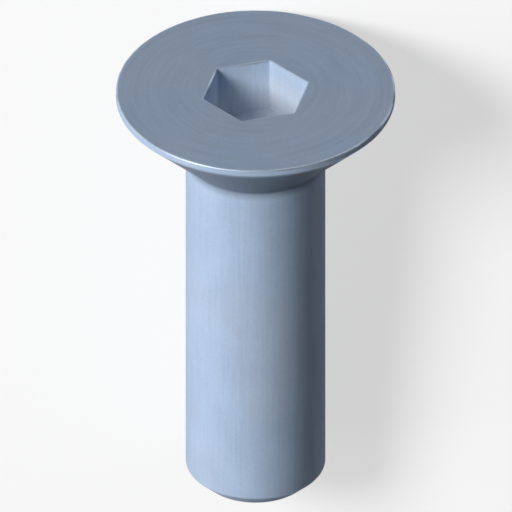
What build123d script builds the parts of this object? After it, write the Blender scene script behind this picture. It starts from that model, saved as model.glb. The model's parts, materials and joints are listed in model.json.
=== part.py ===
from build123d import *
import math
import os

# A countersunk screw with a hexagon socket, M6 x 20, in millimetres, +Z up.
# It lies on its side as it comes to rest: on the rim of its head and on the shoulder
# of its tip, so its axis leans down to the tip. The head points towards +X.
# The origin is on the surface under the middle of the screw.

# Shank
thread_diameter = 6.0
thread_pitch = 1.0
screw_length = 20.0  # over all, because a countersunk head sinks in and counts

# Head
head_diameter = 12.0
rim_height = 0.3  # the straight rim between the flat top and the cone
cone_angle = 90.0  # the full angle of the countersink that the head fits

# Hexagon socket with a flat floor
key_size = 4.0  # across the flats
socket_depth = 2.5
socket_turn = 15.0  # from the level line across the head up to the nearest corner

# Rounds
neck_round = 0.25  # where the cone runs into the shank
edge_round = 0.06  # on every outer edge and round the socket's mouth

# An ISO metric thread is this deep for each millimetre of its pitch, and the tip's
# chamfer cuts down to the thread's root.
depth_for_pitch = 17 / 24 * math.sqrt(3) / 2

# Worked out from the sizes above. Depths count along the axis, from the head's flat top.
head_radius = head_diameter / 2
thread_radius = thread_diameter / 2
cone_depth = (head_radius - thread_radius) / math.tan(math.radians(cone_angle / 2))
neck_depth = rim_height + cone_depth
chamfer = depth_for_pitch * thread_pitch
tip_radius = thread_radius - chamfer
shoulder_depth = screw_length - chamfer
outer_round = min(edge_round, rim_height / 2)

# How it lies: the line from the rim's lower edge to the tip's shoulder is level.
lean = math.atan2(head_radius - thread_radius, shoulder_depth - rim_height)
head_top_z = head_radius * math.cos(lean) + rim_height * math.sin(lean)
reach_to_head = head_radius * math.sin(lean)
reach_to_tip = screw_length * math.cos(lean) + tip_radius * math.sin(lean)
head_top_x = (reach_to_tip - reach_to_head) / 2

# The head's flat top, with x level and z along the axis, and the plane that cuts the
# screw lengthwise, with x level and y along the axis.
head_top = Plane(
    origin=(head_top_x, 0, head_top_z),
    x_dir=(0, -1, 0),
    z_dir=(math.cos(lean), 0, math.sin(lean)),
)
lengthwise = Plane(origin=head_top.origin, x_dir=head_top.x_dir, z_dir=-head_top.y_dir)
screw_axis = Axis(head_top.origin, head_top.z_dir)

with BuildPart() as countersunk_screw:
    # Half of the lengthwise section, turned about the axis. The rounds are in the order
    # of the corners: the rim's two, the neck, the shoulder and the tip.
    with BuildSketch(lengthwise):
        with BuildLine():
            FilletPolyline(
                (0, 0),
                (head_radius, 0),
                (head_radius, -rim_height),
                (thread_radius, -neck_depth),
                (thread_radius, -shoulder_depth),
                (tip_radius, -screw_length),
                (0, -screw_length),
                radius=[outer_round, outer_round, neck_round, outer_round, outer_round],
            )
            Line((0, -screw_length), (0, 0))
        make_face()
    revolve(axis=screw_axis)

    # Hexagon socket
    with BuildSketch(head_top):
        RegularPolygon(
            radius=key_size / 2,
            side_count=6,
            major_radius=False,
            rotation=socket_turn,
        )
    extrude(amount=-socket_depth, mode=Mode.SUBTRACT)
    top_face = countersunk_screw.faces().filter_by(GeomType.PLANE).sort_by(screw_axis)[-1]
    fillet(top_face.inner_wires()[0].edges(), radius=edge_round)

countersunk_screw.part.label = "countersunk_screw"

os.makedirs("parts", exist_ok=True)
export_step(countersunk_screw.part, "parts/countersunk_screw.step")
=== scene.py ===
import json
import math
from typing import NamedTuple

import bpy
import numpy as np
from mathutils import Matrix, Vector


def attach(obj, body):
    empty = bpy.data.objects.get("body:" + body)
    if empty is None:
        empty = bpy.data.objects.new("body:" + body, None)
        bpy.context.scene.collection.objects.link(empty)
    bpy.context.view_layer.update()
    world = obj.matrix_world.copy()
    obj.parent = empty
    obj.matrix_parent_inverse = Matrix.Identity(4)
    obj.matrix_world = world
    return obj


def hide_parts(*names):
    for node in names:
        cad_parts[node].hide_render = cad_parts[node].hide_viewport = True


# The finish of a countersunk screw with a hexagon socket, M6 x 20, that lies on a pale
# floor. Lengths are in millimetres until something is placed in the frame.
MM = 0.001

# The screw's sizes, as in its solid. Depths count from the head's flat top.
HEAD_RADIUS = 6.0
RIM_HEIGHT = 0.3
NECK_DEPTH = 3.3
SHANK_RADIUS = 3.0
SCREW_LENGTH = 20.0
TIP_CHAMFER = 17 / 24 * math.sqrt(3) / 2  # down to the root of a thread with a 1 mm pitch
SOCKET_HALF_WIDTH = 2.0
SOCKET_DEPTH = 2.5
SOCKET_TURN = math.radians(15)

# The hexagon's corners, the angle from one to the next, and the angle to a flat's middle
CORNERS = 6
BETWEEN_CORNERS = 2 * math.pi / CORNERS
CORNER_TO_FLAT = BETWEEN_CORNERS / 2

# Rounds
EDGE_ROUND = 0.06
NECK_ROUND = 0.25
SOCKET_FLOOR_ROUND = 0.05
SOCKET_CORNER_ROUND = 0.05

# How finely the surface is divided
ROUND_STEPS = 6  # along each round of the outline
ROW_GAP = 0.45  # the most between two rows on a straight run
CLOSE_ROW = 0.02  # from a round to the next row, which keeps the flats flat
COLUMNS_ON_CORNER = 4
COLUMNS_ON_FLAT = 46
CIRCLE_REACH = 3.5  # on the flat top, the rows are circles from here outwards

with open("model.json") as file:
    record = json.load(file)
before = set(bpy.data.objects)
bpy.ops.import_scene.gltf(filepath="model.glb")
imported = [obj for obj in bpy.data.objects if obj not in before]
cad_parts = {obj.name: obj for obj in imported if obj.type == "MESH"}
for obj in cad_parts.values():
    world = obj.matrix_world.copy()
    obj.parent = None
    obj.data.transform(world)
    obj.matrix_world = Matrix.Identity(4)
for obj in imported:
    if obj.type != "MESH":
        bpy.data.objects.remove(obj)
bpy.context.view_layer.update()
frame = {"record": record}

# The screw's own axes: level, to the picture's right; away from the camera, square to
# the axis; and along the axis, out of the head.
socket_mount = next(m for m in frame["record"]["mounts"] if m["name"] == "hexagon_socket")
head_centre = Vector(socket_mount["pos_m"])
out_of_head = Vector(socket_mount["axis"]).normalized()
to_right = Vector((0.0, -1.0, 0.0))
to_back = out_of_head.cross(to_right)
screw_axes = Matrix((to_right, to_back, out_of_head)).transposed()


def along_screw(right, back, up):
    """A point given along the screw's own axes, in millimetres from the head's flat top."""
    return head_centre + screw_axes @ Vector((right, back, up)) * MM


# The screw's surface


def straight_rows(start, end):
    """The rows of a straight run: one close to each end, and evenly spaced ones between."""
    length = math.dist(start, end)
    steps = max(1, math.ceil((length - 2 * CLOSE_ROW) / ROW_GAP))
    share = np.linspace(CLOSE_ROW, length - CLOSE_ROW, steps + 1) / length
    return start + share[:, None] * (end - start)


def rounded_outline(corners, rounds):
    """The rows of an outline, and for each row 1 on a round that stands out, or else 0.

    A corner is cut back along both of its runs by its round times the tangent of half
    its turn. Its arc starts along the first run: after an angle, it has gone the round
    times the sine forward and the round times one less the cosine inward."""
    points = np.array(corners, float)
    runs = np.diff(points, axis=0)
    ways = runs / np.linalg.norm(runs, axis=1, keepdims=True)
    start, rows, edges = points[0], [points[:1]], [np.zeros(1)]
    for corner, before, after, size in zip(points[1:-1], ways, ways[1:], rounds):
        side = before[0] * after[1] - before[1] * after[0]
        inward = np.sign(side) * np.array((-before[1], before[0]))
        turn = math.acos(before @ after)
        cut = size * math.tan(turn / 2)
        angle = np.linspace(0, turn, ROUND_STEPS + 1)[:, None]
        arc = corner - before * cut + size * (before * np.sin(angle) + inward * (1 - np.cos(angle)))
        run = straight_rows(start, arc[0])
        rows += [run, arc]
        edges += [np.zeros(len(run)), np.full(len(arc), float(side < 0))]
        start = arc[-1]
    run = straight_rows(start, points[-1])
    rows += [run[:-1], points[-1:]]
    edges += [np.zeros(len(run))]
    return np.concatenate(rows), np.concatenate(edges)


# The hexagon's rounded corner, for a half width of one: its radius, how far its centre
# is from the axis, and half of the angle that it takes there.
corner_radius = SOCKET_CORNER_ROUND / SOCKET_HALF_WIDTH
corner_centre = (1 - corner_radius) / math.cos(CORNER_TO_FLAT)
corner_half_angle = math.atan2(
    corner_radius * math.sin(CORNER_TO_FLAT),
    corner_centre + corner_radius * math.cos(CORNER_TO_FLAT),
)


def column_angles():
    """The columns' angles from one of the hexagon's corners: a few across each rounded
    corner, one close by on each side of it, and evenly spaced ones on the flat."""
    close_by = corner_half_angle + CLOSE_ROW / SOCKET_HALF_WIDTH
    on_corner = np.linspace(-corner_half_angle, corner_half_angle, COLUMNS_ON_CORNER)
    on_flat = np.linspace(close_by, BETWEEN_CORNERS - close_by, COLUMNS_ON_FLAT)
    one_side = np.concatenate((on_corner, on_flat))
    return (np.arange(CORNERS)[:, None] * BETWEEN_CORNERS + one_side).ravel()


def hexagon_reach(angles):
    """The distance from the axis to a hexagon with rounded corners, for a half width of one.

    On a flat it is one over the cosine of the angle from the flat's middle. On a corner
    it is where the ray leaves the corner's circle: the centre's distance times the
    cosine, plus the root of the radius squared less the distance times the sine squared."""
    from_corner = np.abs((angles + CORNER_TO_FLAT) % BETWEEN_CORNERS - CORNER_TO_FLAT)
    on_flat = 1 / np.cos(CORNER_TO_FLAT - from_corner)
    under_root = corner_radius**2 - (corner_centre * np.sin(from_corner)) ** 2
    on_corner = corner_centre * np.cos(from_corner) + np.sqrt(np.maximum(under_root, 0))
    return np.where(from_corner < corner_half_angle, on_corner, on_flat)


def screw_surface():
    """The screw's points and faces, and how much each point is on an outer edge.

    The outline is carried round the axis. A row's reach is multiplied by the hexagon's
    in the socket, by one on the outside, and by something between the two on the head's
    flat top, where the hexagon turns into a circle."""
    tip_radius = SHANK_RADIUS - TIP_CHAMFER
    shoulder_depth = SCREW_LENGTH - TIP_CHAMFER
    rows, edges = rounded_outline(
        [
            (0, -SOCKET_DEPTH),
            (SOCKET_HALF_WIDTH, -SOCKET_DEPTH),
            (SOCKET_HALF_WIDTH, 0),
            (HEAD_RADIUS, 0),
            (HEAD_RADIUS, -RIM_HEIGHT),
            (SHANK_RADIUS, -NECK_DEPTH),
            (SHANK_RADIUS, -shoulder_depth),
            (tip_radius, -SCREW_LENGTH),
            (0, -SCREW_LENGTH),
        ],
        [
            SOCKET_FLOOR_ROUND,
            EDGE_ROUND,
            EDGE_ROUND,
            EDGE_ROUND,
            NECK_ROUND,
            EDGE_ROUND,
            EDGE_ROUND,
        ],
    )
    reach, height = rows[1:-1, :1], rows[1:-1, 1:]
    mouth_reach = SOCKET_HALF_WIDTH + EDGE_ROUND
    hexagonal = np.clip((CIRCLE_REACH - reach) / (CIRCLE_REACH - mouth_reach), 0, 1)
    hexagonal = np.where(height < -SOCKET_DEPTH, 0, hexagonal)
    angles = column_angles()
    out = reach * (1 + hexagonal * (hexagon_reach(angles) - 1))
    turned = angles + SOCKET_TURN
    up = np.broadcast_to(height, out.shape)
    grid = np.stack((out * np.cos(turned), out * np.sin(turned), up), axis=-1)
    poles = np.array([(0, 0, rows[0, 1]), (0, 0, rows[-1, 1])])
    points = np.concatenate((poles[:1], grid.reshape(-1, 3), poles[1:]))
    on_edge = np.concatenate((edges[:1], np.repeat(edges[1:-1], len(angles)), edges[-1:]))
    return points, grid_faces(len(reach), len(angles)), on_edge


def grid_faces(rows, columns):
    """The faces of a closed grid with a pole at each end: four-sided ones between two
    rows and two columns, the last column joined to the first, and a fan at each pole."""
    column = np.arange(columns)
    beside = (column + 1) % columns
    row = 1 + columns * np.arange(rows - 1)[:, None]
    quads = np.stack((row + column, row + columns + column, row + columns + beside, row + beside), -1)
    last_row = 1 + columns * (rows - 1)
    first_fan = np.stack((0 * column, 1 + column, 1 + beside), -1)
    last_fan = np.stack((0 * column + last_row + columns, last_row + beside, last_row + column), -1)
    return quads.reshape(-1, 4).tolist() + first_fan.tolist() + last_fan.tolist()


def make_screw(material):
    """The whole screw as one piece, in place of its plain solid."""
    points, faces, on_edge = screw_surface()
    placed = np.array(head_centre) + points @ np.array(screw_axes.transposed()) * MM
    mesh = bpy.data.meshes.new("countersunk_screw_finish")
    mesh.from_pydata(placed.tolist(), [], faces)
    mesh.attributes.new("outer_edge", "FLOAT", "POINT").data.foreach_set("value", on_edge)
    mesh.shade_smooth()
    mesh.materials.append(material)
    screw = bpy.data.objects.new("countersunk_screw_finish", mesh)
    bpy.context.scene.collection.objects.link(screw)
    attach(screw, "root")
    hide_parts("countersunk_screw")


# Materials


class Mark(NamedTuple):
    """A kind of mark on the plate: the size of its patches along three coordinates, how
    many finer layers it has, and how much it changes the height in millimetres, the
    brightness of the colour, the roughness and the metal."""

    patch: tuple
    layers: float
    height: float = 0.0
    shade: float = 0.0
    roughness: float = 0.0
    metallic: float = 0.0


# A patch's three sizes are to the right, to the back and along the axis. For turned lines
# the first is across them, and the other two are round the axis, on a circle whose radius
# is one.
GRAIN = Mark((0.11, 0.11, 0.11), 2.0, height=0.0016, shade=0.16)
MOTTLE = Mark((1.25, 1.25, 1.67), 4.0, shade=0.16, roughness=0.25)
DRAWN = Mark((0.125, 0.125, 4.0), 3.0, height=0.0034, shade=0.21, roughness=0.28, metallic=0.28)
TURNED = Mark((0.167, 0.77, 0.77), 3.0, height=0.0050, shade=0.31, roughness=0.42, metallic=0.42)
PITS = Mark((0.29, 0.29, 0.34), 1.0, height=-0.0060, shade=-0.06)
TINT = Mark((4.5, 4.5, 6.2), 1.0)

# The noise between which a pit's wall rises, the rubbing of the edges sets in, and the
# colour drifts from the blue to the violet
PIT_WALL = (0.23, 0.30)
RUBBING = (-0.20, 0.10)
DRIFT = (-0.14, 0.14)

# The plate's colours. In the socket the colour is painted light, which lifts the socket's
# shade: lighter at the mouth and paler still down at its floor. Outer edges are rubbed bright.
PLATE_BLUE = (0.470, 0.603, 0.800, 1.0)
PLATE_VIOLET = (0.497, 0.608, 0.790, 1.0)
PLATE_SOCKET_PAINTED_LIGHT = (0.54, 0.66, 0.82, 1.0)
PLATE_SOCKET_FLOOR_PAINTED_LIGHT = (0.82, 0.86, 0.91, 1.0)
PLATE_RUBBED = (0.66, 0.75, 0.86, 1.0)

# How much of the painted light colour the socket takes, and of the rubbed one an outer edge
SOCKET_PAINTED_LIGHT_SHARE = 0.8
RUBBED_SHARE = 0.7

# Painted shade: how much darker the colour is painted on the flat top and in the hollow under the
# head
TOP_PAINTED_SHADE = 0.23
UNDER_HEAD_PAINTED_SHADE = 0.38

# The plate's roughness and metal, what rubbing adds to each, and its faint sheen
PLATE_ROUGHNESS = 0.58
PLATE_METALLIC = 0.14
RUBBED_ROUGHNESS = -0.15
RUBBED_METALLIC = 0.60
SHEEN_LEVEL = 0.05
SHEEN_COLOUR = (0.48, 0.61, 0.81, 1.0)

# Lengths over which one part of the surface turns into the next
MOUTH_BLEND = 0.1
NECK_BLEND = 0.5

# The numbers of the sockets that are used, on nodes whose first output isn't the one
# meant, or whose inputs share a name
OBJECT_COORDINATES = 3  # of a Texture Coordinate node
ATTRIBUTE_NUMBER = 2  # of an Attribute node
MIX_INPUTS = (0, 6, 7)  # of a Mix node: the factor and the two colours
MIXED_COLOUR = 2  # of a Mix node: the colour that it gives
BACKGROUND_RAYS = (0, 3, 6)  # of a Light Path node: camera, glossy and transmission


class Value:
    """A shader socket in an expression. Each operator adds its Math node."""

    def __init__(self, tree, socket):
        self.tree = tree
        self.socket = socket

    def math(self, operation, *others):
        return math_node(self.tree, operation, self, *others)

    def ramp(self, start, end):
        """0 up to the start and 1 from the end on, with a soft step between. The start
        may be the larger one."""
        sockets = {"Value": self, "From Min": start, "From Max": end}
        return node(self.tree, "ShaderNodeMapRange", {"interpolation_type": "SMOOTHSTEP"}, sockets)[0]

    def __add__(self, other):
        return self.math("ADD", other)

    def __sub__(self, other):
        return self.math("SUBTRACT", other)

    def __rsub__(self, other):
        return math_node(self.tree, "SUBTRACT", other, self)

    def __mul__(self, other):
        return self.math("MULTIPLY", other)

    def __truediv__(self, other):
        return self.math("DIVIDE", other)

    def __pow__(self, other):
        return self.math("POWER", other)

    __radd__ = __add__


def node(tree, kind, settings=None, sockets=None):
    """Adds a node: its settings first, then its sockets' values or links. Gives its outputs."""
    made = tree.nodes.new(kind)
    for name, setting in (settings or {}).items():
        setattr(made, name, setting)
    for name, value in (sockets or {}).items():
        if isinstance(value, Value):
            tree.links.new(value.socket, made.inputs[name])
        else:
            made.inputs[name].default_value = value
    return [Value(tree, socket) for socket in made.outputs]


def math_node(tree, operation, *values):
    """One step of arithmetic on sockets and numbers."""
    return node(tree, "ShaderNodeMath", {"operation": operation}, dict(enumerate(values)))[0]


def noise(tree, coordinates, mark):
    """Noise from about -0.5 to 0.5 in the mark's patches."""
    scaled = [coordinate / size for coordinate, size in zip(coordinates, mark.patch)]
    place = node(tree, "ShaderNodeCombineXYZ", {}, dict(enumerate(scaled)))[0]
    sockets = {"Vector": place, "Scale": 1.0, "Detail": mark.layers}
    return node(tree, "ShaderNodeTexNoise", {}, sockets)[0] - 0.5


def mixed_colour(tree, factor, first, second):
    """The first colour at a factor of 0, and the second one at 1."""
    sockets = dict(zip(MIX_INPUTS, (factor, first, second)))
    return node(tree, "ShaderNodeMix", {"data_type": "RGBA"}, sockets)[MIXED_COLOUR]


def new_material(name):
    """An empty material and its node tree."""
    material = bpy.data.materials.new(name)
    material.use_nodes = True
    material.node_tree.nodes.clear()
    return material, material.node_tree


def plated_steel():
    """Zinc plate with a clear blue passivation: satin, finely grained and slightly uneven.

    The marks of its making show through the plate: circles where it was turned, and
    lines along the axis where the wire was drawn and the socket was punched."""
    material, tree = new_material("satin_blue_zinc_plate")
    placing = {
        "Vector": node(tree, "ShaderNodeTexCoord")[OBJECT_COORDINATES],
        "Location": head_centre,
        "Rotation": screw_axes.to_euler(),
        "Scale": (MM, MM, MM),
    }
    from_head = node(tree, "ShaderNodeMapping", {"vector_type": "TEXTURE"}, placing)[0]
    right, back, up = node(tree, "ShaderNodeSeparateXYZ", {}, {"Vector": from_head})
    radius = (right * right + back * back) ** 0.5
    straight = (right, back, up)
    round_axis = (up + radius, right / radius, back / radius)

    # Parts of the surface
    on_top = up.ramp(-MOUTH_BLEND, 0.0)
    within_socket = radius.ramp(SHANK_RADIUS, SOCKET_HALF_WIDTH / math.cos(CORNER_TO_FLAT))
    above_socket_floor = up.ramp(-SOCKET_DEPTH - MOUTH_BLEND, -SOCKET_DEPTH)
    in_socket = (1.0 - on_top) * within_socket * above_socket_floor
    above_tip = up.ramp(-SCREW_LENGTH, TIP_CHAMFER - SCREW_LENGTH)
    on_shank = up.ramp(-NECK_DEPTH, -NECK_DEPTH - NECK_BLEND) * above_tip
    below_rim = up.ramp(-RIM_HEIGHT, -RIM_HEIGHT - NECK_BLEND)
    above_shank = up.ramp(-NECK_DEPTH - NECK_BLEND, -NECK_DEPTH)
    under_head = below_rim * above_shank * (1.0 - in_socket)
    lengthwise = on_shank + in_socket

    mottle = noise(tree, straight, MOTTLE)
    marks = (
        (GRAIN, noise(tree, straight, GRAIN)),
        (MOTTLE, mottle),
        (DRAWN, noise(tree, straight, DRAWN) * lengthwise),
        (TURNED, noise(tree, round_axis, TURNED) * (1.0 - lengthwise)),
        (PITS, noise(tree, straight, PITS).ramp(*PIT_WALL)),
    )
    edge = node(tree, "ShaderNodeAttribute", {"attribute_name": "outer_edge"})[ATTRIBUTE_NUMBER]
    rubbed = edge * mottle.ramp(*RUBBING)

    height = sum(value * mark.height for mark, value in marks)
    bump = {"Strength": 1.0, "Distance": MM, "Height": height}
    drift = noise(tree, straight, TINT).ramp(*DRIFT)
    plain = mixed_colour(tree, drift, PLATE_BLUE, PLATE_VIOLET)
    # Painted light: the socket's colour is lighter than the plate, to lift its shade, and paler still
    # towards its floor
    socket_painted_light = mixed_colour(tree, up.ramp(0.0, -SOCKET_DEPTH), PLATE_SOCKET_PAINTED_LIGHT, PLATE_SOCKET_FLOOR_PAINTED_LIGHT)
    with_painted_light = mixed_colour(tree, in_socket * SOCKET_PAINTED_LIGHT_SHARE, plain, socket_painted_light)
    # Painted shade: the flat top and the hollow under the head are painted darker
    painted_shade = 1.0 - on_top * TOP_PAINTED_SHADE - under_head * UNDER_HEAD_PAINTED_SHADE
    by_marks = 1.0 + sum(value * mark.shade for mark, value in marks)
    shade = {"Vector": with_painted_light, "Scale": painted_shade * by_marks}
    marked = node(tree, "ShaderNodeVectorMath", {"operation": "SCALE"}, shade)[0]
    roughness = PLATE_ROUGHNESS + sum(value * mark.roughness for mark, value in marks)
    metallic = PLATE_METALLIC + sum(value * mark.metallic for mark, value in marks)

    finish = {
        "Base Color": mixed_colour(tree, rubbed * RUBBED_SHARE, marked, PLATE_RUBBED),
        "Roughness": roughness + rubbed * RUBBED_ROUGHNESS,
        "Metallic": metallic + rubbed * RUBBED_METALLIC,
        "Specular IOR Level": SHEEN_LEVEL,
        "Specular Tint": SHEEN_COLOUR,
        "Normal": node(tree, "ShaderNodeBump", {}, bump)[0],
    }
    shader = node(tree, "ShaderNodeBsdfPrincipled", {}, finish)[0]
    node(tree, "ShaderNodeOutputMaterial", {}, {"Surface": shader})
    return material


# Floor, light and camera

PHOTO_PIXELS = 512
PIXELS_PER_MM = 23.28  # at which the screw's sizes fit the picture
CAMERA_ELEVATION = math.asin(math.sqrt(1 / 3))  # of an isometric view, above the head's top

# The point in the frame's middle: its depth, and how far it is to the right of the axis.
# Then how far off the camera is, and how far it sees.
FRAME_MIDDLE_DEPTH = 8.704
FRAME_MIDDLE_RIGHT = 0.02
CAMERA_DISTANCE = 200.0
CAMERA_REACH = 3000.0

WHITE = (1.0, 1.0, 1.0, 1.0)
FLOOR_HALF_WIDTH = 1200.0

# The floor's colour and glow where it is seen, and its colour to rays that gather light
FLOOR_PALE = (0.40, 0.40, 0.40, 1.0)
FLOOR_GLOW = 0.62
FLOOR_DIM = (0.20, 0.20, 0.20, 1.0)

# The even light all round, and the paleness seen below the horizon
SKY_STRENGTH = 0.045
HORIZON_STRENGTH = 0.95
HORIZON_BLEND = 0.03  # how far up it reaches, as the sine of the angle above level

# Each lamp's way from the screw, to the right, to the back and out of the head, its
# width and its strength
LAMP_DISTANCE = 600.0
LAMPS = {
    "key": ((-0.60, -0.65, 0.47), 240.0, 0.95),
    "side": ((-0.90, -0.40, 0.05), 280.0, 0.18),
}


def add_camera():
    """An isometric view on the head and along the shank, with the head at the top."""
    down, level = math.sin(CAMERA_ELEVATION), math.cos(CAMERA_ELEVATION)
    backward = out_of_head * down - to_back * level
    upward = out_of_head * level + to_back * down
    turn = Matrix((to_right, upward, backward)).transposed()
    data = bpy.data.cameras.new("camera")
    data.type = "ORTHO"
    data.ortho_scale = PHOTO_PIXELS / PIXELS_PER_MM * MM
    data.clip_start = MM
    data.clip_end = CAMERA_REACH * MM
    camera = bpy.data.objects.new("camera", data)
    middle = along_screw(FRAME_MIDDLE_RIGHT, 0, -FRAME_MIDDLE_DEPTH)
    place = middle + backward * CAMERA_DISTANCE * MM
    camera.matrix_world = Matrix.Translation(place) @ turn.to_4x4()
    bpy.context.scene.collection.objects.link(camera)
    bpy.context.scene.camera = camera


def add_lamp(name, towards, width, strength):
    """A round lamp that shines on the screw's middle. A strength of 1 shows a surface
    that faces it about as it is coloured: the lamp's power is then pi squared times its
    distance squared."""
    middle = along_screw(0, 0, -SCREW_LENGTH / 2)
    way = (screw_axes @ Vector(towards)).normalized()
    data = bpy.data.lights.new(name, "AREA")
    data.shape = "DISK"
    data.size = width * MM
    data.energy = strength * (math.pi * LAMP_DISTANCE * MM) ** 2
    lamp = bpy.data.objects.new(name, data)
    lamp.location = middle + way * LAMP_DISTANCE * MM
    lamp.rotation_euler = way.to_track_quat("Z", "Y").to_euler()
    bpy.context.scene.collection.objects.link(lamp)


def seen_as_background(tree):
    """1 for a ray that shows what it meets, from the camera or from a surface that mirrors
    it or lets it through, and 0 for a ray that only gathers light."""
    rays = node(tree, "ShaderNodeLightPath")
    camera, glossy, transmitted = (rays[number] for number in BACKGROUND_RAYS)
    return camera.math("MAXIMUM", glossy).math("MAXIMUM", transmitted)


def add_floor():
    """A floor that keeps the screw's shadow. It is pale where it is seen, and dim to other
    rays, so it throws little light back."""
    material, tree = new_material("pale_floor")
    seen = seen_as_background(tree)
    dim = node(tree, "ShaderNodeBsdfDiffuse", {}, {"Color": FLOOR_DIM})[0]
    pale = node(tree, "ShaderNodeBsdfDiffuse", {}, {"Color": FLOOR_PALE})[0]
    glow = node(tree, "ShaderNodeEmission", {}, {"Color": WHITE, "Strength": FLOOR_GLOW})[0]
    bright = node(tree, "ShaderNodeAddShader", {}, dict(enumerate((pale, glow))))[0]
    both = node(tree, "ShaderNodeMixShader", {}, dict(enumerate((seen, dim, bright))))[0]
    node(tree, "ShaderNodeOutputMaterial", {}, {"Surface": both})
    half = FLOOR_HALF_WIDTH * MM
    corners = [(-half, -half, 0), (half, -half, 0), (half, half, 0), (-half, half, 0)]
    mesh = bpy.data.meshes.new("floor")
    mesh.from_pydata(corners, [], [(0, 1, 2, 3)])
    mesh.materials.append(material)
    floor = bpy.data.objects.new("floor", mesh)
    bpy.context.scene.collection.objects.link(floor)


def add_world():
    """Dim, even light all round, and the floor's paleness from the horizon down, which is
    only seen, where a low view looks past the floor."""
    world = bpy.data.worlds.new("studio")
    bpy.context.scene.world = world
    world.use_nodes = True
    tree = world.node_tree
    tree.nodes.clear()
    direction = node(tree, "ShaderNodeTexCoord")[0]
    *_, upward = node(tree, "ShaderNodeSeparateXYZ", {}, {"Vector": direction})
    pale = upward.ramp(HORIZON_BLEND, 0.0) * seen_as_background(tree)
    strength = SKY_STRENGTH + pale * (HORIZON_STRENGTH - SKY_STRENGTH)
    light = node(tree, "ShaderNodeBackground", {}, {"Color": WHITE, "Strength": strength})[0]
    node(tree, "ShaderNodeOutputWorld", {}, {"Surface": light})


make_screw(plated_steel())
add_floor()
add_world()
for lamp_name, (lamp_way, lamp_width, lamp_strength) in LAMPS.items():
    add_lamp(lamp_name, lamp_way, lamp_width, lamp_strength)
add_camera()

bpy.context.scene.view_settings.view_transform = "Standard"
